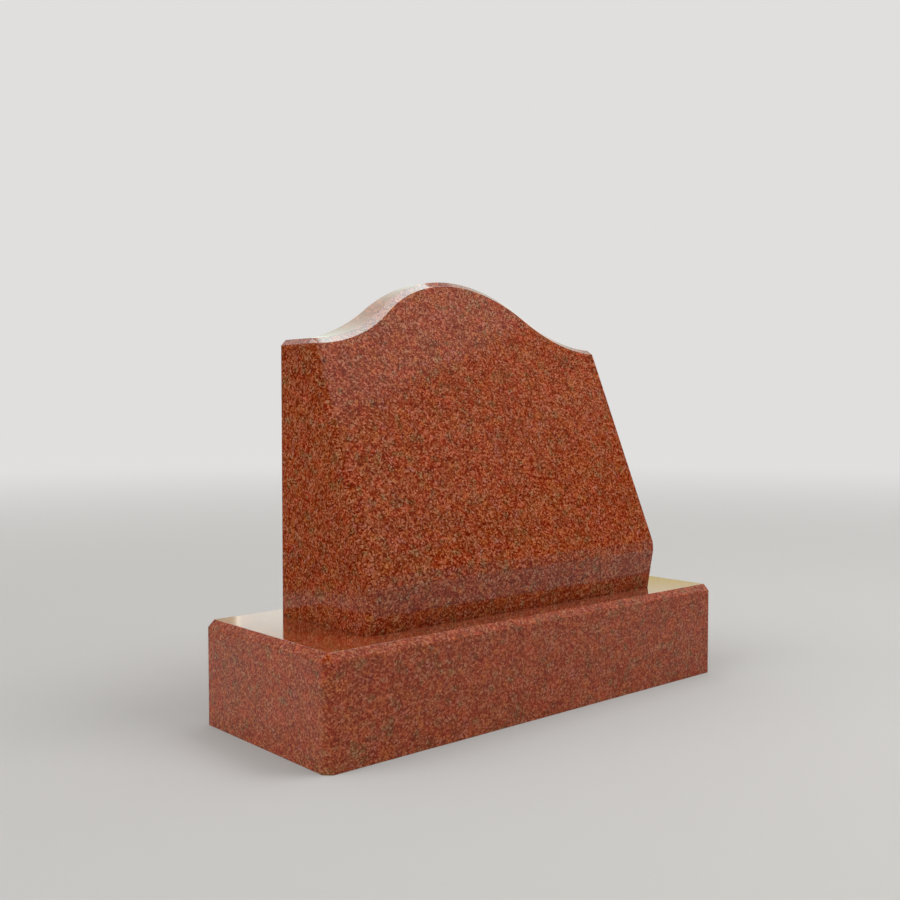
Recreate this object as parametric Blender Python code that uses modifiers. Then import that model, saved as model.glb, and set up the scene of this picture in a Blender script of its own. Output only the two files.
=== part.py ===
"""Slant headstone: a polished red granite tablet with a serpentine top, on a plain granite base.

Metres, +Z up. The origin is the middle of the base's underside. +X runs along the width, and the
slanted face looks towards -Y. The tablet stands on the middle of the base's top.
"""

import math

import bmesh
import bpy
from mathutils import Matrix, Vector

# Tablet: driving dimensions, heights measured from its own foot
TABLET_WIDTH = 0.606
TABLET_DEPTH = 0.227          # from the nose, its foremost edge, to the back
SHOULDER_HEIGHT = 0.406       # the top's two lower ends, at the sides
CREST_RISE = 0.103            # how far the crest stands above the shoulders
CREST_DEPTH = 0.0393          # thickness of the top at the crest
NOSE_HEIGHT = 0.0734          # where the slanted face turns back under itself
NOSE_OVERHANG = 0.0129        # how far the nose stands in front of the foot
TABLET_CHAMFER = 0.0083

# Base: driving dimensions
BASE_HEIGHT = 0.1535
SIDE_LEDGE = 0.103            # top of the base left free beside the tablet, at each end
DEPTH_LEDGE = 0.0397          # the same in front of the nose and behind the back
BASE_CHAMFER = 0.0102

# Bed joint between the tablet's foot and the base's top
BED_JOINT = 0.0003

# Fineness of the serpentine top, and the length of its straight ends in chamfer widths
STEPS_PER_ARC = 20
STRAIGHT_END = 1.4

# The turn above which an edge is an arris, and the upward part of a face's normal below which
# the face belongs to the underside and its edges stay sharp
ARRIS_ANGLE = math.radians(12.0)
STEEPEST_SIDE = -0.9

# How far a cutter reaches past what it cuts, and the weld distance of a prism's caps
CUT_MARGIN = 0.05
WELD = 0.00001
COPLANAR_ANGLE = math.radians(0.2)

# Colours (linear red, green, blue) and surface of the polished granite
TABLET_COLOUR = (0.245, 0.052, 0.027)
BASE_COLOUR = (0.270, 0.073, 0.052)
POLISH_ROUGHNESS = 0.12

# Worked out from the dimensions above
BASE_WIDTH = TABLET_WIDTH + 2.0 * SIDE_LEDGE
BASE_DEPTH = TABLET_DEPTH + 2.0 * DEPTH_LEDGE
CREST_HEIGHT = SHOULDER_HEIGHT + CREST_RISE
TABLET_FOOT = BASE_HEIGHT + BED_JOINT
NOSE = -TABLET_DEPTH / 2.0


def clear_scene():
    """Remove every object of the scene."""
    for item in list(bpy.data.objects):
        bpy.data.objects.remove(item, do_unlink=True)


def new_collection(name):
    """Return a new collection under the scene's own."""
    collection = bpy.data.collections.new(name)
    bpy.context.scene.collection.children.link(collection)
    return collection


def granite(name, colour):
    """Return a polished granite material of one mean colour."""
    material = bpy.data.materials.new(name)
    material.use_nodes = True
    shader = material.node_tree.nodes["Principled BSDF"]
    shader.inputs["Base Color"].default_value = (*colour, 1.0)
    shader.inputs["Roughness"].default_value = POLISH_ROUGHNESS
    shader.inputs["Metallic"].default_value = 0.0
    material.diffuse_color = (*colour, 1.0)
    return material


def mesh_object(name, mesh, collection):
    """Return a new object of the mesh, linked to the collection."""
    item = bpy.data.objects.new(name, mesh)
    collection.objects.link(item)
    return item


def baked(item, name, collection):
    """Replace an object by a mesh of its evaluated shape, welded, and return the new object."""
    bpy.context.view_layer.update()
    evaluated = item.evaluated_get(bpy.context.evaluated_depsgraph_get())
    mesh = bpy.data.meshes.new_from_object(evaluated)
    mesh.transform(item.matrix_world)
    bpy.data.objects.remove(item, do_unlink=True)
    work = bmesh.new()
    work.from_mesh(mesh)
    bmesh.ops.remove_doubles(work, verts=work.verts, dist=WELD)
    bmesh.ops.dissolve_limit(work, angle_limit=COPLANAR_ANGLE, verts=work.verts, edges=work.edges)
    bmesh.ops.recalc_face_normals(work, faces=work.faces)
    work.to_mesh(mesh)
    work.free()
    mesh.name = name
    return mesh_object(name, mesh, collection)


def prism(name, outline, length, across, collection):
    """Extrude a flat outline to both sides of its plane.

    The outline's first value runs along across and its second along +Z, and the prism is as long
    as length in the direction that is square to both.
    """
    curve = bpy.data.curves.new(name, "CURVE")
    curve.dimensions = "2D"
    curve.fill_mode = "BOTH"
    curve.extrude = length / 2.0
    spline = curve.splines.new("POLY")
    spline.points.add(len(outline) - 1)
    for point, (along, up) in zip(spline.points, outline):
        point.co = (along, up, 0.0, 1.0)
    spline.use_cyclic_u = True
    item = bpy.data.objects.new(name, curve)
    collection.objects.link(item)
    up = Vector((0.0, 0.0, 1.0))
    item.matrix_world = Matrix((across, up, across.cross(up))).transposed().to_4x4()
    return baked(item, name, collection)


def serpentine():
    """Return the top's outline from the left shoulder to the right one.

    Each half is a hollow arc, level at the side, that runs into a round arc, level at the crest.
    Both have one radius, so they meet halfway up with one tangent. The hollow arc's first stretch
    is one straight step, wider than the chamfer down the side, which has to turn the corner on it.
    """
    half_width = TABLET_WIDTH / 2.0
    radius = (half_width ** 2 + CREST_RISE ** 2) / (4.0 * CREST_RISE)
    turn = 2.0 * math.atan2(CREST_RISE, half_width)
    hollow = [(half_width, SHOULDER_HEIGHT)]
    crest = [(0.0, CREST_HEIGHT)]
    for step in range(1, STEPS_PER_ARC + 1):
        angle = turn * step / STEPS_PER_ARC
        reach = radius * math.sin(angle)
        drop = radius * (1.0 - math.cos(angle))
        crest.append((reach, CREST_HEIGHT - drop))
        if reach > STRAIGHT_END * TABLET_CHAMFER:
            hollow.append((half_width - reach, SHOULDER_HEIGHT + drop))
    right_half = crest[:-1] + hollow[::-1]
    left_half = [(-along, up) for along, up in reversed(right_half[1:])]
    return left_half + right_half


def front_waste():
    """Return the side view of what is sawn off the slab's front.

    One line slopes from the nose up to the crest's front edge and past it. The other runs from
    the nose down and back to the foot and past it.
    """
    slope = (TABLET_DEPTH - CREST_DEPTH) / (CREST_HEIGHT - NOSE_HEIGHT)
    undercut = NOSE_OVERHANG / NOSE_HEIGHT
    top = CREST_HEIGHT + CUT_MARGIN
    return [
        (NOSE - CUT_MARGIN, -CUT_MARGIN),
        (NOSE + undercut * (NOSE_HEIGHT + CUT_MARGIN), -CUT_MARGIN),
        (NOSE, NOSE_HEIGHT),
        (NOSE + slope * (top - NOSE_HEIGHT), top),
        (NOSE - CUT_MARGIN, top),
    ]


def is_arris(edge):
    """Tell whether an edge turns sharply and borders no face that looks down."""
    if edge.calc_face_angle() < ARRIS_ANGLE:
        return False
    return all(face.normal.z > STEEPEST_SIDE for face in edge.link_faces)


def chamfer_arrises(item, width):
    """Put a flat chamfer on all of an object's arrises but those round its underside."""
    work = bmesh.new()
    work.from_mesh(item.data)
    weight = work.edges.layers.float.new("bevel_weight_edge")
    for edge in work.edges:
        edge[weight] = 1.0 if is_arris(edge) else 0.0
    work.to_mesh(item.data)
    work.free()
    bevel = item.modifiers.new("chamfer", "BEVEL")
    bevel.limit_method = "WEIGHT"
    bevel.offset_type = "OFFSET"
    bevel.width = width
    bevel.segments = 1


def build_base(collection):
    """Make the base: a block with chamfers round its top and down its four corners."""
    bpy.ops.mesh.primitive_cube_add(size=1.0, location=(0.0, 0.0, BASE_HEIGHT / 2.0))
    base = bpy.context.object
    base.name = "base"
    base.data.name = "base"
    for owner in base.users_collection:
        owner.objects.unlink(base)
    collection.objects.link(base)
    base.data.transform(Matrix.Diagonal((BASE_WIDTH, BASE_DEPTH, BASE_HEIGHT, 1.0)))
    chamfer_arrises(base, BASE_CHAMFER)
    base.data.materials.append(granite("base_granite", BASE_COLOUR))
    return base


def build_tablet(collection, cutters):
    """Make the tablet: a slab with a serpentine top, its front sawn to the slant and undercut."""
    half_width = TABLET_WIDTH / 2.0
    outline = [(-half_width, 0.0)] + serpentine() + [(half_width, 0.0)]
    slab = prism("slab", outline, TABLET_DEPTH, Vector((1.0, 0.0, 0.0)), collection)

    waste_width = TABLET_WIDTH + 2.0 * CUT_MARGIN
    waste = prism("front_waste", front_waste(), waste_width, Vector((0.0, 1.0, 0.0)), cutters)
    waste.hide_render = True
    waste.display_type = "WIRE"
    cut = slab.modifiers.new("slant", "BOOLEAN")
    cut.operation = "DIFFERENCE"
    cut.solver = "EXACT"
    cut.object = waste

    tablet = baked(slab, "slant_tablet", collection)
    tablet.data.shade_smooth()
    tablet.data.set_sharp_from_angle(angle=ARRIS_ANGLE)
    chamfer_arrises(tablet, TABLET_CHAMFER)
    tablet.location = (0.0, 0.0, TABLET_FOOT)
    tablet.data.materials.append(granite("tablet_granite", TABLET_COLOUR))
    return tablet


def main():
    """Build the headstone."""
    clear_scene()
    parts = new_collection("slant_headstone")
    cutters = new_collection("cutters")
    build_base(parts)
    build_tablet(parts, cutters)


main()
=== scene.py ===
"""Looks of the slant headstone: two blocks of polished red granite, on a pale studio floor.

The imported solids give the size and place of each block. Each is made again here with fine curves
and eased arrises, and stands for its solid. Metres, +Z up, the slanted face towards -Y.
"""

import logging
import math
from abc import ABC, abstractmethod
from collections.abc import Mapping, Sequence
from dataclasses import dataclass
from enum import Enum, IntEnum
from typing import Any, ClassVar

import bmesh
import bpy
from mathutils import Matrix, Vector


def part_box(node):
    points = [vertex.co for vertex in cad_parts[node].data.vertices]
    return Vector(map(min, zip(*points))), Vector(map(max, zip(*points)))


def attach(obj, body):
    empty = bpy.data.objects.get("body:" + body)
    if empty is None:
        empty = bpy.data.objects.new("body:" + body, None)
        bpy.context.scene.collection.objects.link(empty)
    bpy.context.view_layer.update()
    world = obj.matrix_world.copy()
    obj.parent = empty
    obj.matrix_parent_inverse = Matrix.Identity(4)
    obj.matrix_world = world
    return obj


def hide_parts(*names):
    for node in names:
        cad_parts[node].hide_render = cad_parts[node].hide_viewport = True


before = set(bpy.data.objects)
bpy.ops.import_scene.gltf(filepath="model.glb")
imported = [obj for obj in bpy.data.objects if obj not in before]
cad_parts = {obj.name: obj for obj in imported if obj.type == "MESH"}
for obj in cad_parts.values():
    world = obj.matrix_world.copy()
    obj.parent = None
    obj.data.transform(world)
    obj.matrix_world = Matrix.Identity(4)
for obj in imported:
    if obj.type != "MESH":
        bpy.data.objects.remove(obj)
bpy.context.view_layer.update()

LOG = logging.getLogger("slant_headstone")

# How far the tablet's foot stands above the base: too little for a dark line to show.
BED_JOINT = 0.0001
# Degrees: an edge that turns by more is an arris, and is worked.
ARRIS_TURN = 12.0
# A face whose normal points further down than this is the underside of its block.
DOWNWARD = -0.9
# The edge attribute that a Bevel modifier takes its weights from.
CHAMFER_WEIGHT = "bevel_weight_edge"

Colour = tuple[float, float, float]
Place = tuple[float, float, float]
Number = int | float


class Surface(IntEnum):
    """How a face of the stone was finished, in the order of a block's material slots."""

    POLISHED = 0
    SAWN = 1


class Grains(Enum):
    """How the grains of a pattern meet."""

    CRISP = "F1"
    SOFT = "SMOOTH_F1"


class Corner(IntEnum):
    """The corners of the tablet's side view, in order round it."""

    FOOT_FRONT = 0
    NOSE = 1
    TOP_FRONT = 2
    TOP_BACK = 3
    FOOT_BACK = 4


class Wire:
    """A socket that can be used in an ordinary expression; each operator adds a Math node."""

    def __init__(self, graph: "Graph", socket: bpy.types.NodeSocket) -> None:
        """Hold a socket.

        Args:
            graph: The graph that new nodes go to.
            socket: The output that the expression reads.
        """
        self.graph = graph
        self.socket = socket

    def maths(self, operation: str, *others: "Wire | Number") -> "Wire":
        """Add a Math node that starts from this socket.

        Args:
            operation: The Math node's operation.
            others: The operation's further values.

        Returns:
            The node's result.
        """
        return self.graph.maths(operation, self, *others)

    def __add__(self, other: "Wire | Number") -> "Wire":
        """Return self + other."""
        return self.maths("ADD", other)

    def __radd__(self, other: Number) -> "Wire":
        """Return other + self."""
        return self.maths("ADD", other)

    def __sub__(self, other: "Wire | Number") -> "Wire":
        """Return self - other."""
        return self.maths("SUBTRACT", other)

    def __rsub__(self, other: Number) -> "Wire":
        """Return other - self."""
        return self.graph.maths("SUBTRACT", other, self)

    def __mul__(self, other: "Wire | Number") -> "Wire":
        """Return self times other."""
        return self.maths("MULTIPLY", other)

    def __rmul__(self, other: Number) -> "Wire":
        """Return other times self."""
        return self.maths("MULTIPLY", other)

    def __truediv__(self, other: "Wire | Number") -> "Wire":
        """Return self divided by other."""
        return self.maths("DIVIDE", other)

    def __rtruediv__(self, other: Number) -> "Wire":
        """Return other divided by self."""
        return self.graph.maths("DIVIDE", other, self)

    def __neg__(self) -> "Wire":
        """Return self with its sign turned."""
        return self.maths("MULTIPLY", -1.0)

    def __abs__(self) -> "Wire":
        """Return self without its sign."""
        return self.maths("ABSOLUTE")

    def __gt__(self, other: "Wire | Number") -> "Wire":
        """Return 1 where self is above other, else 0."""
        return self.maths("GREATER_THAN", other)

    def __lt__(self, other: "Wire | Number") -> "Wire":
        """Return 1 where self is below other, else 0."""
        return self.maths("LESS_THAN", other)

    def root(self) -> "Wire":
        """Return the square root of self."""
        return self.maths("SQRT")


Feed = Wire | Number | Sequence[float] | str | bool


class Graph:
    """A node tree with one way to add a node, and short ways to the ones that repeat."""

    def __init__(self, tree: bpy.types.NodeTree) -> None:
        """Hold a node tree.

        Args:
            tree: The shader or geometry tree to add to.
        """
        self.tree = tree

    @property
    def shader(self) -> bpy.types.Node:
        """Return the surface shader that a new material comes with."""
        return self.tree.nodes["Principled BSDF"]

    def node(
        self,
        kind: str,
        settings: Mapping[str, Any] | None = None,
        feeds: Mapping[int | str, Feed] | None = None,
    ) -> bpy.types.Node:
        """Add a node.

        Args:
            kind: The node's type.
            settings: Its properties by name. The name stops sets a ramp's stops, each a place
                and a colour.
            feeds: Its inputs by name or number, each a link or a value.

        Returns:
            The new node.
        """
        node = self.tree.nodes.new(kind)
        for name, value in (settings or {}).items():
            if name == "stops":
                self._set_stops(node.color_ramp, value)
            else:
                setattr(node, name, value)
        for name, value in (feeds or {}).items():
            self.feed(node.inputs[name], value)
        return node

    def feed(self, socket: bpy.types.NodeSocket, value: Feed) -> None:
        """Link a wire to an input, or set the input's value.

        Args:
            socket: The input.
            value: A wire, or a plain value.
        """
        if isinstance(value, Wire):
            self.tree.links.new(value.socket, socket)
        else:
            socket.default_value = value

    def wire(self, node: bpy.types.Node, output: int | str = 0) -> Wire:
        """Return an output of a node as a wire."""
        return Wire(self, node.outputs[output])

    def maths(self, operation: str, *values: Wire | Number) -> Wire:
        """Add a Math node.

        Args:
            operation: The node's operation.
            values: Its inputs in order.

        Returns:
            The node's result.
        """
        settings = {"operation": operation}
        return self.wire(self.node("ShaderNodeMath", settings, dict(enumerate(values))))

    def vector_maths(self, operation: str, *values: Feed) -> Wire:
        """Add a Vector Math node, for colours and places.

        Args:
            operation: The node's operation.
            values: Its vector inputs in order; SCALE takes a vector and a number.

        Returns:
            The node's result, which is a number for LENGTH and else a vector.
        """
        feeds = dict(enumerate(values))
        if operation == "SCALE":
            feeds["Scale"] = feeds.pop(1)
        node = self.node("ShaderNodeVectorMath", {"operation": operation}, feeds)
        return self.wire(node, "Value" if operation == "LENGTH" else "Vector")

    def place(self) -> Wire:
        """Return the place on the piece, in metres from its origin."""
        return self.wire(self.node("ShaderNodeTexCoord"), "Object")

    def upward(self, vector: Wire) -> Wire:
        """Return a vector's Z."""
        return self.wire(self.node("ShaderNodeSeparateXYZ", None, {0: vector}), "Z")

    def channel(self, colour: Wire, number: int) -> Wire:
        """Return one channel of a colour, numbered from 0."""
        return self.wire(self.node("ShaderNodeSeparateColor", None, {0: colour}), number)

    def noise(self, where: Wire, scale: float, detail: float, output: int | str = 0) -> Wire:
        """Add soft blotches.

        Args:
            where: The place.
            scale: How many blotches lie in a metre.
            detail: How many finer layers lie over them.
            output: 0 for one number at each place, or Color for three.

        Returns:
            The blotches, from 0 to 1.
        """
        feeds = {"Vector": where, "Scale": scale, "Detail": detail}
        return self.wire(self.node("ShaderNodeTexNoise", None, feeds), output)

    def ramp(self, stops: Sequence[tuple[float, Colour]], share: Wire) -> Wire:
        """Add a ramp of colours.

        Args:
            stops: The place and the colour of each stop, from low to high.
            share: Where the ramp is read, from 0 to 1.

        Returns:
            The colour there.
        """
        return self.wire(self.node("ShaderNodeValToRGB", {"stops": stops}, {0: share}))

    def mix(self, share: Wire, first: Colour, second: Colour) -> Wire:
        """Mix two colours.

        Args:
            share: How much of the second colour there is, from 0 to 1.
            first: The first colour.
            second: The second colour.

        Returns:
            The mixed colour.
        """
        # The node has an A and a B for each kind of value: 6 and 7 are the colours, 2 their mix.
        feeds = {0: share, 6: (*first, 1.0), 7: (*second, 1.0)}
        return self.wire(self.node("ShaderNodeMix", {"data_type": "RGBA"}, feeds), 2)

    @staticmethod
    def _set_stops(ramp: bpy.types.ColorRamp, stops: Sequence[tuple[float, Colour]]) -> None:
        """Set a ramp's stops.

        Args:
            ramp: The ramp, which starts with two stops.
            stops: The place and the colour of each stop, from low to high.
        """
        for place, _ in stops[2:]:
            ramp.elements.new(place)
        for element, (place, colour) in zip(ramp.elements, stops):
            element.position = place
            element.color = (*colour, 1.0)


def chip(red: float, green: float, blue: float) -> Colour:
    """Turn a colour chip's screen values, 0 to 255, into linear ones.

    Args:
        red: The red value.
        green: The green value.
        blue: The blue value.

    Returns:
        The linear colour.
    """

    def linear(value: float) -> float:
        """Return one linear channel, by the sRGB curve."""
        share = max(0.0, value) / 255.0
        if share <= 0.04045:
            return share / 12.92
        return ((share + 0.055) / 1.055) ** 2.4

    return linear(red), linear(green), linear(blue)


def blank_material(name: str) -> tuple[bpy.types.Material, Graph]:
    """Make a material that has only its surface shader.

    Args:
        name: The material's name.

    Returns:
        The material and its graph.
    """
    material = bpy.data.materials.new(name)
    material.use_nodes = True
    return material, Graph(material.node_tree)


def add_object(name: str, data: bpy.types.ID) -> bpy.types.Object:
    """Put an object in the scene.

    Args:
        name: The object's name.
        data: Its mesh, lamp or camera.

    Returns:
        The object.
    """
    item = bpy.data.objects.new(name, data)
    bpy.context.scene.collection.objects.link(item)
    return item


@dataclass(frozen=True)
class Mineral:
    """One of the minerals that the granite is made of.

    Fields:
        share: How much of the stone it makes up.
        cast: What it multiplies the colour of its crystals by.
    """

    share: float
    cast: Colour


RED_GRANITE = (
    Mineral(0.28, (0.91, 0.88, 0.86)),
    Mineral(0.22, (0.96, 0.70, 0.63)),
    Mineral(0.18, (0.97, 0.85, 0.60)),
    Mineral(0.12, (0.86, 0.82, 1.00)),
    Mineral(0.10, (0.91, 1.00, 1.00)),
    Mineral(0.10, (0.74, 0.98, 0.95)),
)

# How far the crystals' screen values are from those of the middle ones, from dark to pale.
CRYSTALS = (
    (-41.0, -46.0, -31.0),
    (-21.0, -25.0, -25.0),
    (0.0, 0.0, 0.0),
    (20.0, 25.0, 26.0),
    (48.0, 57.0, 59.0),
)


@dataclass(frozen=True)
class Cut:
    """The part of the quarry that a block was cut from, which gives its grain and its tone.

    Fields:
        place: Where in the quarry it was, in metres, so that no two blocks have the same grain.
        middle: The screen values of its middle crystals.
        contrast: How far its other crystals differ from those, where 1 is the tablet's block.
    """

    place: Place
    middle: Colour = (137.0, 64.0, 31.5)
    contrast: float = 1.0


@dataclass(frozen=True)
class Tooling:
    """What the tools left on a surface.

    Fields:
        roughness: How rough it is at least.
        dulling: How much rougher it is in its dullest places.
        depth: How deep its hollows are.
        strength: How clearly the hollows show, from 0 to 1.
    """

    roughness: float
    dulling: float
    depth: float
    strength: float


TOOLING = {
    Surface.POLISHED: Tooling(roughness=0.09, dulling=0.015, depth=0.00002, strength=0.02),
    Surface.SAWN: Tooling(roughness=0.62, dulling=0.2, depth=0.0004, strength=0.6),
}


@dataclass(frozen=True)
class Granite:
    """Granite, finished one way: patches of several minerals, in fine crystals.

    The polish is sealed with a thin clear coat, which shows where it is seen at a low angle.

    Fields:
        name: The finish's name.
        surface: Polished or sawn.
        cut: The part of the quarry that it comes from.
        crystal: Mean width of a crystal.
        patch: Mean width of a patch of crystals of one mineral.
        minerals: The minerals.
    """

    name: str
    surface: Surface
    cut: Cut
    crystal: float = 0.0023
    patch: float = 0.010
    minerals: tuple[Mineral, ...] = RED_GRANITE

    stone_ior: ClassVar[float] = 1.5
    sealer_ior: ClassVar[float] = 1.3
    # How far the bounds of the grains wander, in widths of a grain, and how often in one width.
    wander: ClassVar[float] = 1.1
    turns: ClassVar[float] = 0.8
    # How softly one patch runs into the next.
    patch_softness: ClassVar[float] = 0.3
    # The share of its own range in which a mineral gives way to its neighbour.
    giving_way: ClassVar[float] = 0.15
    # The share of the crystals that are soft, which leaves them a little lower and duller.
    soft_share: ClassVar[float] = 0.08
    # Blotches in a metre: of stain, of slow drift in tone, and a sawn face's dull spots and pits.
    stains: ClassVar[float] = 40.0
    drifts: ClassVar[float] = 22.0
    dull_spots: ClassVar[float] = 300.0
    pits: ClassVar[float] = 420.0
    # How far stain changes each channel, and the least and the spread of the drift.
    stain: ClassVar[Colour] = (0.4, 0.35, 0.54)
    drift: ClassVar[tuple[float, float]] = (0.96, 0.28)
    # What dust leaves of a sawn face's colour, and what it adds.
    undusted: ClassVar[float] = 0.75
    dust: ClassVar[Colour] = (0.11, 0.09, 0.08)

    def material(self) -> bpy.types.Material:
        """Build the finish.

        Returns:
            The finished material.
        """
        material, graph = blank_material(self.name)
        inputs = graph.shader.inputs
        where = graph.vector_maths("ADD", graph.place(), self.cut.place)
        paleness = graph.channel(self._packed(graph, where, self.crystal, Grains.CRISP), 0)
        graph.feed(inputs["Base Color"], self._colour(graph, where, paleness))
        graph.feed(inputs["Roughness"], self._roughness(graph, where, paleness))
        graph.feed(inputs["Normal"], self._relief(graph, where, paleness))
        inputs["IOR"].default_value = self.stone_ior
        if self.surface is Surface.POLISHED:
            inputs["Coat Weight"].default_value = 1.0
            inputs["Coat Roughness"].default_value = TOOLING[self.surface].roughness
            inputs["Coat IOR"].default_value = self.sealer_ior
        return material

    def _packed(self, graph: Graph, where: Wire, size: float, grains: Grains) -> Wire:
        """Pack the stone with irregular grains.

        Args:
            graph: The material's graph.
            where: The place in the quarry.
            size: Mean width of a grain.
            grains: How the grains meet.

        Returns:
            A colour that differs from grain to grain.
        """
        wander = graph.noise(where, self.turns / size, detail=1.0, output="Color")
        centred = graph.vector_maths("SUBTRACT", wander, (0.5, 0.5, 0.5))
        bend = graph.vector_maths("SCALE", centred, self.wander * size)
        bent = graph.vector_maths("ADD", where, bend)
        settings = {"voronoi_dimensions": "3D", "feature": grains.value}
        feeds = {"Vector": bent, "Scale": 1.0 / size}
        if grains is Grains.SOFT:
            feeds["Smoothness"] = self.patch_softness
        return graph.wire(graph.node("ShaderNodeTexVoronoi", settings, feeds), "Color")

    def _colour(self, graph: Graph, where: Wire, paleness: Wire) -> Wire:
        """Colour the crystals.

        Args:
            graph: The material's graph.
            where: The place in the quarry.
            paleness: A number from 0, dark, to 1, pale, for each crystal.

        Returns:
            The base colour.
        """
        crystal = graph.ramp(self._crystals(), paleness)
        patch = graph.channel(self._packed(graph, where, self.patch, Grains.SOFT), 1)
        colour = graph.vector_maths("MULTIPLY", crystal, graph.ramp(self._casts(), patch))

        # The blotches' mean is a half, so the stain's is 1, and the mean colour stays as it is.
        blotches = graph.noise(where, self.stains, detail=2.0, output="Color")
        least = [1.0 - 0.5 * reach for reach in self.stain]
        reached = graph.vector_maths("MULTIPLY", blotches, self.stain)
        stain = graph.vector_maths("ADD", reached, least)
        colour = graph.vector_maths("MULTIPLY", colour, stain)

        lowest, spread = self.drift
        drift = lowest + spread * graph.noise(where, self.drifts, detail=2.0)
        colour = graph.vector_maths("SCALE", colour, drift)
        if self.surface is Surface.POLISHED:
            return colour
        dusty = graph.vector_maths("SCALE", colour, self.undusted)
        return graph.vector_maths("ADD", dusty, self.dust)

    def _crystals(self) -> list[tuple[float, Colour]]:
        """Colour the crystals of this cut, from dark to pale.

        Returns:
            A ramp's stops.
        """
        stops = []
        for index, offset in enumerate(CRYSTALS):
            pairs = zip(self.cut.middle, offset)
            shade = [mean + self.cut.contrast * change for mean, change in pairs]
            stops.append((index / (len(CRYSTALS) - 1), chip(*shade)))
        return stops

    def _casts(self) -> list[tuple[float, Colour]]:
        """Share the patches out among the minerals.

        Returns:
            A ramp's stops.
        """
        stops = []
        reached = 0.0
        for mineral in self.minerals:
            for part in (self.giving_way, 1.0 - self.giving_way):
                stops.append((reached + part * mineral.share, mineral.cast))
            reached += mineral.share
        return stops

    def _roughness(self, graph: Graph, where: Wire, paleness: Wire) -> Wire:
        """Leave the soft crystals of a polished face a little duller, or spots of a sawn one.

        Args:
            graph: The material's graph.
            where: The place in the quarry.
            paleness: A number from 0, dark, to 1, pale, for each crystal.

        Returns:
            The roughness.
        """
        if self.surface is Surface.POLISHED:
            dull = paleness < self.soft_share
        else:
            dull = graph.noise(where, self.dull_spots, detail=2.0)
        tooling = TOOLING[self.surface]
        return tooling.roughness + tooling.dulling * dull

    def _relief(self, graph: Graph, where: Wire, paleness: Wire) -> Wire:
        """Sink the soft crystals a hair below the polish, or pit a sawn face.

        Args:
            graph: The material's graph.
            where: The place in the quarry.
            paleness: A number from 0, dark, to 1, pale, for each crystal.

        Returns:
            The normal.
        """
        if self.surface is Surface.POLISHED:
            height = -(paleness < self.soft_share)
        else:
            height = graph.noise(where, self.pits, detail=3.0)
        tooling = TOOLING[self.surface]
        feeds = {"Height": height, "Strength": tooling.strength, "Distance": tooling.depth}
        return graph.wire(graph.node("ShaderNodeBump", None, feeds))


class Piece(ABC):
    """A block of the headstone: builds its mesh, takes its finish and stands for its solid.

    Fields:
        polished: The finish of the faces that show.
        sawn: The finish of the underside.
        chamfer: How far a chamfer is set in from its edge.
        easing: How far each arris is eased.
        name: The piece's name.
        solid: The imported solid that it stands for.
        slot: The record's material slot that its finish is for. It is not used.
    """

    polished: Granite
    sawn: Granite
    chamfer: float
    easing: float
    name: str
    solid: str
    slot: str

    @abstractmethod
    def rough_block(self) -> bpy.types.Object:
        """Return the block before its arrises are worked.

        Returns:
            An object whose edges carry the weights of their chamfers.
        """

    def build(self) -> bpy.types.Object:
        """Make the finished piece.

        Returns:
            A plain mesh object at the origin, which rides on the root and replaces its solid.
        """
        worked = self.work_arrises(self.rough_block())
        evaluated = worked.evaluated_get(bpy.context.evaluated_depsgraph_get())
        mesh = bpy.data.meshes.new_from_object(evaluated)
        bpy.data.objects.remove(worked, do_unlink=True)
        mesh.name = self.name
        piece = add_object(self.name, mesh)
        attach(piece, "root")
        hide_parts(self.solid)
        return piece

    def work_arrises(self, block: bpy.types.Object) -> bpy.types.Object:
        """Chamfer the weighted edges, then ease every arris by a hair.

        Args:
            block: The block with its weights.

        Returns:
            The same object with its modifiers on.
        """
        chamfer = block.modifiers.new("chamfer", "BEVEL")
        chamfer.limit_method = "WEIGHT"
        chamfer.offset_type = "OFFSET"
        chamfer.width = self.chamfer
        chamfer.segments = 1
        ease = block.modifiers.new("ease", "BEVEL")
        ease.limit_method = "ANGLE"
        ease.angle_limit = math.radians(ARRIS_TURN)
        ease.width = self.easing
        ease.segments = 2
        block.modifiers.new("flat_faces", "WEIGHTED_NORMAL")
        bpy.context.view_layer.update()
        return block


@dataclass
class BaseBlock(Piece):
    """The plain base: a rectangular block, chamfered round its top and down its corners."""

    polished: Granite
    sawn: Granite
    width: float
    depth: float
    height: float
    chamfer: float = 0.0102
    easing: float = 0.0007
    name: str = "headstone_base"
    solid: str = "base"
    slot: str = "base_granite"

    def rough_block(self) -> bpy.types.Object:
        """Make the block with square edges.

        Returns:
            An object whose upper and upright edges carry a chamfer's weight.
        """
        work = bmesh.new()
        middle = self.height / 2.0
        size = Matrix.Diagonal((self.width, self.depth, self.height, 1.0))
        lift = Matrix.Translation((0.0, 0.0, middle))
        bmesh.ops.create_cube(work, size=1.0, matrix=lift @ size)
        weight = work.edges.layers.float.new(CHAMFER_WEIGHT)
        for edge in work.edges:
            on_ground = all(corner.co.z < middle for corner in edge.verts)
            edge[weight] = 0.0 if on_ground else 1.0
        for face in work.faces:
            face.smooth = True
            underneath = face.normal.z < DOWNWARD
            face.material_index = Surface.SAWN if underneath else Surface.POLISHED
        mesh = bpy.data.meshes.new("rough_base")
        work.to_mesh(mesh)
        work.free()
        for finish in (self.polished, self.sawn):
            mesh.materials.append(finish.material())
        return add_object("rough_base", mesh)


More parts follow.
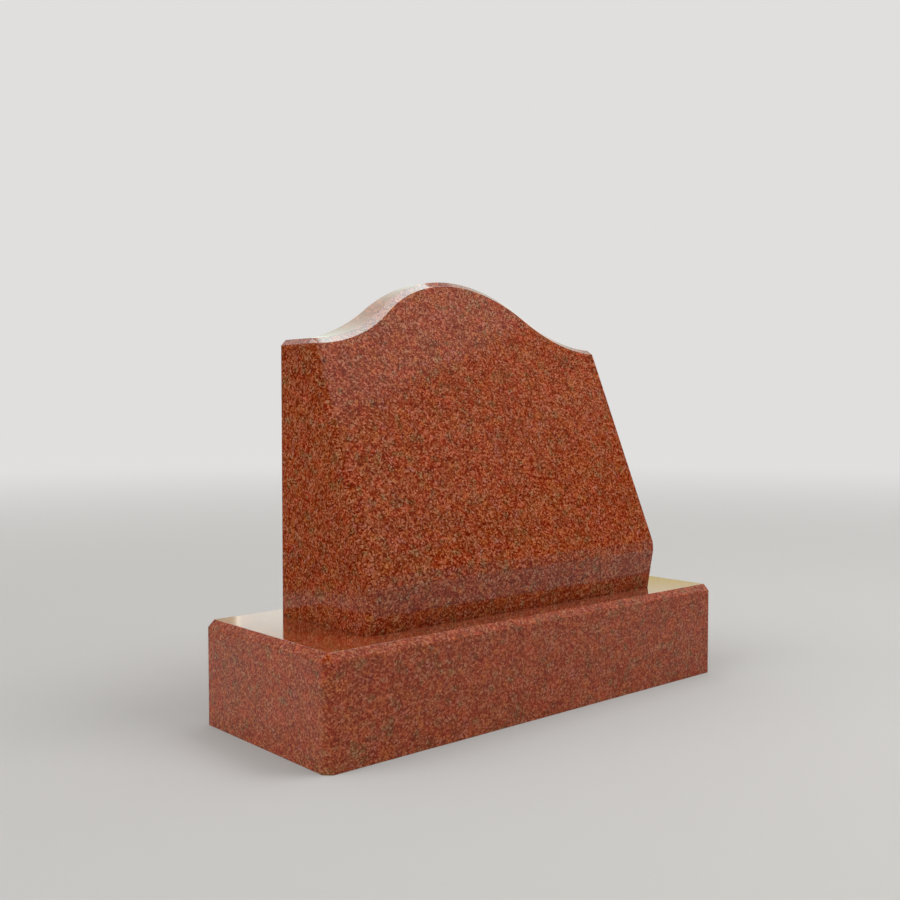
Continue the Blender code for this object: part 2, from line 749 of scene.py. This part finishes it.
@dataclass
class SlantTablet(Piece):
    """The tablet: a serpentine top over a slanted face, which turns back under its nose.

    Its side view is a five-cornered outline, repeated at stations along the width. At each
    station the serpentine sets how high the outline's two upper corners stand.

    Fields:
        foot: How high its foot stands above the ground.
        height: How high the crest stands above the foot.
        crest_rise: How high the crest stands above the shoulders.
        crest_depth: How deep the top is at the crest, from front to back.
        nose_height: How high the nose stands above the foot.
        nose_overhang: How far the nose stands in front of the foot.
        straight_end: How wide the outermost strip is at either end. It has no stations inside,
            because the chamfer of the end is cut from it.
        stations: How many stations there are, with the two ends.
    """

    polished: Granite
    sawn: Granite
    width: float
    depth: float
    foot: float
    height: float
    crest_rise: float = 0.103
    crest_depth: float = 0.0393
    nose_height: float = 0.0734
    nose_overhang: float = 0.0129
    chamfer: float = 0.0083
    easing: float = 0.0004
    straight_end: float = 0.0116
    stations: int = 193
    name: str = "headstone_tablet"
    solid: str = "slant_tablet"
    slot: str = "tablet_granite"

    # An edge that stays lower than this above the foot belongs to the foot.
    foot_margin: ClassVar[float] = 0.001

    def rough_block(self) -> bpy.types.Object:
        """Make the tablet with square edges, by geometry nodes.

        Returns:
            An object whose edges carry a chamfer's weight, but those of the foot.
        """
        values = {
            "Width": self.width,
            "Depth": self.depth,
            "Foot": self.foot,
            "Height": self.height,
            "Crest Rise": self.crest_rise,
            "Crest Depth": self.crest_depth,
            "Nose Height": self.nose_height,
            "Nose Overhang": self.nose_overhang,
            "Straight End": self.straight_end,
            "Stations": self.stations,
            "Polished": self.polished.material(),
            "Sawn": self.sawn.material(),
        }
        block = add_object("rough_tablet", bpy.data.meshes.new("rough_tablet"))
        modifier = block.modifiers.new("tablet", "NODES")
        modifier.node_group = self._tree(values)
        for item in modifier.node_group.interface.items_tree:
            if item.name in values:
                modifier[item.identifier] = values[item.name]
        return block

    def _tree(self, values: Mapping[str, Number | bpy.types.Material]) -> bpy.types.NodeTree:
        """Build the tree that makes the tablet from its sizes.

        Args:
            values: The sizes and finishes by name. Each gets an input of its kind.

        Returns:
            The tree.
        """
        tree = bpy.data.node_groups.new("serpentine_slant_tablet", "GeometryNodeTree")
        add_socket = tree.interface.new_socket
        for name, value in values.items():
            add_socket(name=name, in_out="INPUT", socket_type=self._kind(value))
        add_socket(name="Tablet", in_out="OUTPUT", socket_type="NodeSocketGeometry")
        graph = Graph(tree)
        given = graph.node("NodeGroupInput")
        inputs = {name: graph.wire(given, name) for name in values}
        block, station, corner = self._swept(graph, inputs)
        shaped = self._shaped(graph, inputs, block, station, corner)
        weighted = self._weighted(graph, inputs, shaped)
        finished = self._finished(graph, inputs, weighted)
        graph.node("NodeGroupOutput", None, {0: finished})
        return tree

    @staticmethod
    def _kind(value: Number | bpy.types.Material) -> str:
        """Return the kind of socket that takes a value."""
        if isinstance(value, bpy.types.Material):
            return "NodeSocketMaterial"
        return "NodeSocketInt" if isinstance(value, int) else "NodeSocketFloat"

    @staticmethod
    def _swept(graph: Graph, inputs: Mapping[str, Wire]) -> tuple[Wire, Wire, Wire]:
        """Sweep a five-cornered outline along a line, as a closed block.

        Args:
            graph: The tree's graph.
            inputs: The tree's inputs.

        Returns:
            The block, and on its points the number of the station and of the corner.
        """
        line = graph.node("GeometryNodeCurvePrimitiveLine", None, {"End": (1.0, 0.0, 0.0)})
        feeds = {"Curve": graph.wire(line), "Count": inputs["Stations"]}
        path = graph.node("GeometryNodeResampleCurve", None, feeds)
        ring = graph.node("GeometryNodeCurvePrimitiveCircle", None, {0: len(Corner)})
        number = graph.wire(graph.node("GeometryNodeInputIndex"))
        numbered = []
        for curve in (path, ring):
            capture = graph.node("GeometryNodeCaptureAttribute", {"domain": "POINT"})
            capture.capture_items.new("INT", "number")
            graph.feed(capture.inputs[0], graph.wire(curve))
            graph.feed(capture.inputs[1], number)
            numbered.append((graph.wire(capture, 0), graph.wire(capture, 1)))
        (stations, station), (outline, corner) = numbered
        feeds = {"Curve": stations, "Profile Curve": outline, "Fill Caps": True}
        block = graph.wire(graph.node("GeometryNodeCurveToMesh", None, feeds))
        return block, station, corner

    @classmethod
    def _shaped(
        cls, graph: Graph, inputs: Mapping[str, Wire], block: Wire, station: Wire, corner: Wire
    ) -> Wire:
        """Move every point of the block to its place.

        Args:
            graph: The tree's graph.
            inputs: The tree's inputs.
            block: The swept block.
            station: The number of each point's station.
            corner: The number of each point's corner.

        Returns:
            The shaped block.
        """
        along = cls._along(graph, inputs, station)
        top = cls._top(inputs, along)
        nose = inputs["Nose Height"]
        back = inputs["Depth"] / 2.0
        front = -back
        slope = (inputs["Depth"] - inputs["Crest Depth"]) / (inputs["Height"] - nose)
        across = {
            Corner.FOOT_FRONT: front + inputs["Nose Overhang"],
            Corner.NOSE: front,
            Corner.TOP_FRONT: front + slope * (top - nose),
            Corner.TOP_BACK: back,
            Corner.FOOT_BACK: back,
        }
        up = {
            Corner.FOOT_FRONT: 0.0,
            Corner.NOSE: nose,
            Corner.TOP_FRONT: top,
            Corner.TOP_BACK: top,
            Corner.FOOT_BACK: 0.0,
        }
        picked = []
        for choices in (across, up):
            switch = graph.node("GeometryNodeIndexSwitch", {"data_type": "FLOAT"})
            while len(switch.index_switch_items) < len(Corner):
                switch.index_switch_items.new()
            graph.feed(switch.inputs[0], corner)
            for index, value in choices.items():
                graph.feed(switch.inputs[1 + index], value)
            picked.append(graph.wire(switch))
        feeds = {"X": along, "Y": picked[0], "Z": picked[1] + inputs["Foot"]}
        place = graph.wire(graph.node("ShaderNodeCombineXYZ", None, feeds))
        feeds = {"Geometry": block, "Position": place}
        moved = graph.wire(graph.node("GeometryNodeSetPosition", None, feeds))
        # The outline's corners run the other way round than the sweep's, so its faces turn in.
        return graph.wire(graph.node("GeometryNodeFlipFaces", None, {0: moved}))

    @staticmethod
    def _along(graph: Graph, inputs: Mapping[str, Wire], station: Wire) -> Wire:
        """Spread the stations along the width: one at either end, the rest between the strips.

        Args:
            graph: The tree's graph.
            inputs: The tree's inputs.
            station: The number of each point's station.

        Returns:
            Each station's X.
        """
        last = inputs["Stations"] - 1.0
        end = inputs["Straight End"]
        from_left = graph.maths("MAXIMUM", 0.0, (station - 1.0) / (last - 2.0))
        share = graph.maths("MINIMUM", 1.0, from_left)
        inner = (2.0 * share - 1.0) * (inputs["Width"] / 2.0 - end)
        return inner + end * ((station > last - 0.5) - (station < 0.5))

    @staticmethod
    def _top(inputs: Mapping[str, Wire], along: Wire) -> Wire:
        """Follow the serpentine: four equal arcs, rounded over the crest, hollow at the shoulders.

        Args:
            inputs: The tree's inputs.
            along: Each point's X.

        Returns:
            How high the top stands there above the foot.
        """
        half = inputs["Width"] / 2.0
        rise = inputs["Crest Rise"]
        radius = (half * half + rise * rise) / (4.0 * rise)
        outward = abs(along)
        inward = half - outward
        drop = radius - (radius * radius - outward * outward).root()
        climb = radius - (radius * radius - inward * inward).root()
        rounded = inputs["Height"] - drop
        hollow = inputs["Height"] - rise + climb
        outer = outward > half / 2.0
        return (1.0 - outer) * rounded + outer * hollow

    @classmethod
    def _weighted(cls, graph: Graph, inputs: Mapping[str, Wire], block: Wire) -> Wire:
        """Weight the arrises for their chamfer, but not those of the foot.

        Args:
            graph: The tree's graph.
            inputs: The tree's inputs.
            block: The shaped block.

        Returns:
            The block with a weight on each edge.
        """
        turn = graph.wire(graph.node("GeometryNodeInputMeshEdgeAngle"), 0)
        height = graph.upward(graph.wire(graph.node("GeometryNodeInputPosition")))
        above_foot = (height - inputs["Foot"]) > cls.foot_margin
        settings = {"data_type": "FLOAT", "domain": "EDGE"}
        feeds = {
            "Geometry": block,
            "Name": CHAMFER_WEIGHT,
            "Value": (turn > math.radians(ARRIS_TURN)) * above_foot,
        }
        return graph.wire(graph.node("GeometryNodeStoreNamedAttribute", settings, feeds))

    @staticmethod
    def _finished(graph: Graph, inputs: Mapping[str, Wire], block: Wire) -> Wire:
        """Give the block its finishes: polished all round, sawn underneath.

        Args:
            graph: The tree's graph.
            inputs: The tree's inputs.
            block: The weighted block.

        Returns:
            The finished block.
        """
        smooth = graph.wire(graph.node("GeometryNodeSetShadeSmooth", None, {"Geometry": block}))
        real = graph.wire(graph.node("GeometryNodeRealizeInstances", None, {0: smooth}))
        feeds = {"Geometry": real, "Material": inputs["Polished"]}
        polished = graph.wire(graph.node("GeometryNodeSetMaterial", None, feeds))
        facing = graph.upward(graph.wire(graph.node("GeometryNodeInputNormal")))
        feeds = {"Geometry": polished, "Selection": facing < DOWNWARD, "Material": inputs["Sawn"]}
        return graph.wire(graph.node("GeometryNodeSetMaterial", None, feeds))


def away(azimuth: float, elevation: float) -> Vector:
    """Return the unit vector towards a direction of the room.

    Args:
        azimuth: Degrees from +Y towards +X.
        elevation: Degrees above the floor.

    Returns:
        The vector.
    """
    turn = math.radians(azimuth)
    rise = math.radians(elevation)
    return Vector(
        (math.sin(turn) * math.cos(rise), math.cos(turn) * math.cos(rise), math.sin(rise))
    )


def span(distance: float, angle: float) -> float:
    """Return the width that fills an angle, in degrees, at a distance."""
    return 2.0 * distance * math.tan(math.radians(angle / 2.0))


def hang(
    lamp: bpy.types.Light, target: Vector, direction: Vector, distance: float
) -> bpy.types.Object:
    """Put a lamp in the scene, facing the stone.

    Args:
        lamp: The lamp's data.
        target: The point that it faces.
        direction: The unit vector from there to the lamp.
        distance: How far off it hangs.

    Returns:
        The lamp's object.
    """
    item = add_object(lamp.name, lamp)
    item.location = target + distance * direction
    item.rotation_euler = (-direction).to_track_quat("-Z", "Y").to_euler()
    return item


@dataclass(frozen=True)
class SoftLight:
    """A broad, soft light that the polish doesn't mirror.

    Fields:
        name: The light's name.
        azimuth: Degrees from +Y towards +X.
        elevation: Degrees above the floor.
        spread: How many degrees of the room it fills.
        strength: How bright it makes a white card that faces it, where 1 is paper white.
        distance: Metres from the middle of the stone, or nothing where it is far off.
    """

    name: str
    azimuth: float
    elevation: float
    spread: float
    strength: float
    distance: float | None = None

    # Where a far light is drawn: its light is the same from any distance.
    far_off: ClassVar[float] = 10.0

    def light(self, target: Vector) -> None:
        """Hang the light.

        Args:
            target: The point that it faces.
        """
        if self.distance is None:
            lamp = bpy.data.lights.new(self.name, "SUN")
            lamp.angle = math.radians(self.spread)
            lamp.energy = math.pi * self.strength
        else:
            lamp = bpy.data.lights.new(self.name, "AREA")
            lamp.shape = "DISK"
            lamp.size = span(self.distance, self.spread)
            lamp.energy = (math.pi * self.distance) ** 2 * self.strength
        direction = away(self.azimuth, self.elevation)
        item = hang(lamp, target, direction, self.distance or self.far_off)
        item.visible_glossy = False


@dataclass(frozen=True)
class Panel:
    """A glowing panel that only shows in the polish, as a pale or white reflection.

    Fields:
        name: The panel's name.
        azimuth: Degrees from +Y towards +X.
        elevation: Degrees above the floor.
        wide: Degrees that it spans from side to side.
        high: Degrees that it spans from its lower edge to its upper one.
        brightness: What a mirror would show of it, where 1 is paper white.
        colour: Its colour.
        distance: Metres from the middle of the stone.
    """

    name: str
    azimuth: float
    elevation: float
    wide: float
    high: float
    brightness: float
    colour: Colour = (1.0, 1.0, 1.0)
    distance: float = 8.0

    def light(self, target: Vector) -> None:
        """Hang the panel.

        Args:
            target: The point that it faces.
        """
        lamp = bpy.data.lights.new(self.name, "AREA")
        lamp.shape = "RECTANGLE"
        lamp.size = span(self.distance, self.wide)
        lamp.size_y = span(self.distance, self.high)
        lamp.energy = math.pi * lamp.size * lamp.size_y * self.brightness
        lamp.color = self.colour
        item = hang(lamp, target, away(self.azimuth, self.elevation), self.distance)
        item.visible_diffuse = False


@dataclass(frozen=True)
class MirroredFloor:
    """A sheet of floor that only shows in the polish.

    Fields:
        name: The sheet's name.
        first: Where it starts, in degrees from +X towards +Y.
        last: Where it ends.
        radius: How far it reaches from the middle of the stone, in metres.
        height: How far it lies above the floor.
        colour: Its colour.
    """

    name: str
    first: float
    last: float
    radius: float
    height: float
    colour: Colour = (0.22, 0.215, 0.21)


@dataclass(frozen=True)
class Viewpoint:
    """The camera, which stands where the photograph was taken.

    Fields:
        place: Where it stands.
        turn: How it is turned, in degrees from +Y towards +X.
        tilt: How many degrees it looks down.
        lens: Its focal length, in millimetres.
        sensor: The width of its picture, in millimetres.
    """

    place: Place = (-1.1798, -1.2620, 0.4679)
    turn: float = 41.447
    tilt: float = 2.495
    lens: float = 43.641
    sensor: float = 36.0

    def set_up(self) -> None:
        """Stand the camera in its place."""
        data = bpy.data.cameras.new("camera")
        data.lens = self.lens
        data.sensor_width = self.sensor
        camera = add_object("camera", data)
        camera.location = self.place
        camera.rotation_euler = (math.radians(90.0 - self.tilt), 0.0, math.radians(-self.turn))
        bpy.context.scene.camera = camera


@dataclass(frozen=True)
class Studio:
    """The plain room: a pale floor, soft lights and the camera.

    Fields:
        target: The middle of the stone, which all lamps face.
        room_light: How bright the room is, where 1 is paper white.
        room_colour: The room's colour.
        floor_radius: How far the floor reaches.
        near_floor: The floor's colour by the stone.
        far_floor: Its colour far off, where it meets the room.
        fade: Where the one starts to turn into the other, and where that ends.
        viewpoint: The camera.
        mirrored: The sheets of floor that the polish mirrors, the nearer above the farther.
        lights: The lights.
        panels: The panels that the polish mirrors. Those of the room only show from other
            sides than the camera's.
    """

    target: Place = (0.0, 0.0, 0.35)
    room_light: float = 0.745
    room_colour: Colour = (1.0, 0.99, 0.975)
    floor_radius: float = 30.0
    near_floor: Colour = (0.50, 0.492, 0.48)
    far_floor: Colour = (0.784, 0.781, 0.777)
    fade: tuple[float, float] = (0.2, 7.0)
    viewpoint: Viewpoint = Viewpoint()
    mirrored: tuple[MirroredFloor, ...] = (
        MirroredFloor("mirrored_floor", 0.0, 360.0, 1.3, 0.001, (0.218, 0.214, 0.209)),
        MirroredFloor("mirrored_left", 125.0, 200.0, 0.95, 0.0015, (0.286, 0.282, 0.275)),
        MirroredFloor("mirrored_front", 250.0, 385.0, 8.0, 0.0005),
        MirroredFloor("mirrored_back", 45.0, 103.0, 8.0, 0.0005),
        MirroredFloor("mirrored_far_left", 157.0, 205.0, 8.0, 0.0005),
    )
    lights: tuple[SoftLight, ...] = (
        SoftLight("left_light", 285.0, 35.0, 50.0, 0.36),
        SoftLight("front_light", 140.0, 60.0, 30.0, 0.44, 2.2),
    )
    panels: tuple[Panel, ...] = (
        Panel("back_corner", 18.8, 7.5, 17.6, 7.5, 0.64, (1.0, 0.84, 0.55)),
        Panel("back_low", 34.8, 7.5, 14.4, 7.5, 1.11, (0.98, 0.99, 0.89)),
        Panel("back_high", 26.0, 26.5, 32.0, 30.0, 0.91, (0.88, 0.945, 0.835)),
        Panel("right_low", 54.0, 5.7, 24.0, 4.3, 0.61, (1.0, 0.91, 0.3)),
        Panel("right_middle", 54.0, 14.2, 24.0, 12.6, 0.93, (1.0, 0.95, 0.83)),
        Panel("right_high", 54.0, 31.0, 24.0, 21.0, 0.83, (0.9, 1.0, 0.92)),
        Panel("right_dim", 58.0, 47.0, 32.0, 11.0, 0.45),
        Panel("left_bright", 2.5, 28.0, 15.0, 34.0, 0.54),
        Panel("left_dim", -18.0, 28.0, 26.0, 34.0, 0.243),
        Panel("overhead", 60.0, 75.0, 45.0, 45.0, 3.85, (0.74, 0.96, 0.965)),
        Panel("front_high", 138.0, 48.0, 70.0, 23.0, 0.34),
        Panel("front_dim", 130.0, 32.0, 50.0, 9.0, 0.061),
        Panel("front_low", 136.0, 3.0, 44.0, 8.0, 0.136),
        Panel("room_back", -8.5, 3.0, 27.0, 13.0, 0.6),
        Panel("room_right", 92.0, 9.0, 26.0, 25.0, 0.6),
        Panel("room_front", 186.0, 11.0, 48.0, 29.0, 0.6),
        Panel("room_left", 280.0, 9.0, 50.0, 25.0, 0.6),
    )

    full_turn: ClassVar[float] = 360.0
    # How many straight edges an arc of floor is drawn with.
    arc_steps: ClassVar[int] = 96
    floor_roughness: ClassVar[float] = 0.9

    def build(self) -> None:
        """Set up floor, room light, lamps and camera."""
        self._floor()
        self._room()
        for lamp in (*self.lights, *self.panels):
            lamp.light(Vector(self.target))
        self.viewpoint.set_up()
        # The stone's colours are screen values, so the picture shows them as they are.
        bpy.context.scene.view_settings.view_transform = "Standard"

    def _floor(self) -> None:
        """Lay the pale floor, and the darker floor that the polish mirrors instead."""
        outline = self._arc(self.floor_radius, 0.0, self.full_turn)
        floor = self._sheet("floor", outline, self.near_floor)
        floor.visible_glossy = False
        self._fade_out(floor.active_material)

        for part in self.mirrored:
            outline = self._arc(part.radius, part.first, part.last)
            sheet = self._sheet(part.name, outline, part.colour)
            sheet.location.z = part.height
            sheet.visible_camera = False
            sheet.visible_diffuse = False
            sheet.visible_shadow = False

    def _arc(self, radius: float, first: float, last: float) -> list[tuple[float, float]]:
        """Return the outline of a slice of floor round the stone, or of the whole round.

        Args:
            radius: Its radius in metres.
            first: Where it starts, in degrees from +X towards +Y.
            last: Where it ends.

        Returns:
            The X and Y of its corners, anticlockwise.
        """
        corners = []
        for step in range(self.arc_steps + 1):
            turn = math.radians(first + (last - first) * step / self.arc_steps)
            corners.append((radius * math.cos(turn), radius * math.sin(turn)))
        if last - first < self.full_turn:
            corners.append((0.0, 0.0))
        else:
            corners.pop()
        return corners

    def _sheet(
        self, name: str, outline: Sequence[tuple[float, float]], colour: Colour
    ) -> bpy.types.Object:
        """Lay a flat, matt sheet on the ground.

        Args:
            name: The sheet's name.
            outline: Its corners, anticlockwise.
            colour: Its colour.

        Returns:
            The sheet's object, which belongs to the stage.
        """
        mesh = bpy.data.meshes.new(name)
        corners = [(across, along, 0.0) for across, along in outline]
        mesh.from_pydata(corners, [], [list(range(len(corners)))])
        material, graph = blank_material(name)
        inputs = graph.shader.inputs
        inputs["Base Color"].default_value = (*colour, 1.0)
        inputs["Roughness"].default_value = self.floor_roughness
        inputs["Specular IOR Level"].default_value = 0.0
        mesh.materials.append(material)
        sheet = add_object(name, mesh)
        return sheet

    def _fade_out(self, material: bpy.types.Material) -> None:
        """Let the floor pale into the room with distance, so that no line shows between them.

        Args:
            material: The floor's material.
        """
        graph = Graph(material.node_tree)
        start, end = self.fade
        distance = graph.vector_maths("LENGTH", graph.place())
        settings = {"interpolation_type": "SMOOTHSTEP"}
        feeds = {"Value": distance, "From Min": start, "From Max": end}
        share = graph.wire(graph.node("ShaderNodeMapRange", settings, feeds))
        colour = graph.mix(share, self.near_floor, self.far_floor)
        graph.feed(graph.shader.inputs["Base Color"], colour)

    def _room(self) -> None:
        """Fill the room with even, pale light, which the polish doesn't mirror."""
        world = bpy.data.worlds.new("room")
        world.use_nodes = True
        background = world.node_tree.nodes["Background"]
        background.inputs["Color"].default_value = (*self.room_colour, 1.0)
        background.inputs["Strength"].default_value = self.room_light
        world.cycles_visibility.glossy = False
        bpy.context.scene.world = world


def main() -> None:
    """Build the base, the tablet and the studio, and report each piece."""
    logging.basicConfig(level=logging.INFO, format="%(message)s")
    low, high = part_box("base")
    foot = high.z + BED_JOINT
    cut = Cut(place=(3.1, 0.7, 0.4), middle=(141.0, 66.0, 32.5), contrast=0.8)
    base = BaseBlock(
        polished=Granite("polished_base_granite", Surface.POLISHED, cut),
        sawn=Granite("sawn_base_granite", Surface.SAWN, cut),
        width=high.x - low.x,
        depth=high.y - low.y,
        height=high.z,
    )
    low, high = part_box("slant_tablet")
    cut = Cut(place=(0.7, 0.2, 0.5))
    tablet = SlantTablet(
        polished=Granite("polished_tablet_granite", Surface.POLISHED, cut),
        sawn=Granite("sawn_tablet_granite", Surface.SAWN, cut),
        width=high.x - low.x,
        # The nose's edge is chamfered off the solid, so the back gives the depth.
        depth=2.0 * high.y,
        foot=foot,
        height=high.z - foot,
    )
    for part in (base, tablet):
        piece = part.build()
        LOG.info("%s: %d faces, for %s", piece.name, len(piece.data.polygons), part.solid)
    Studio().build()


if __name__ == "__main__":
    main()
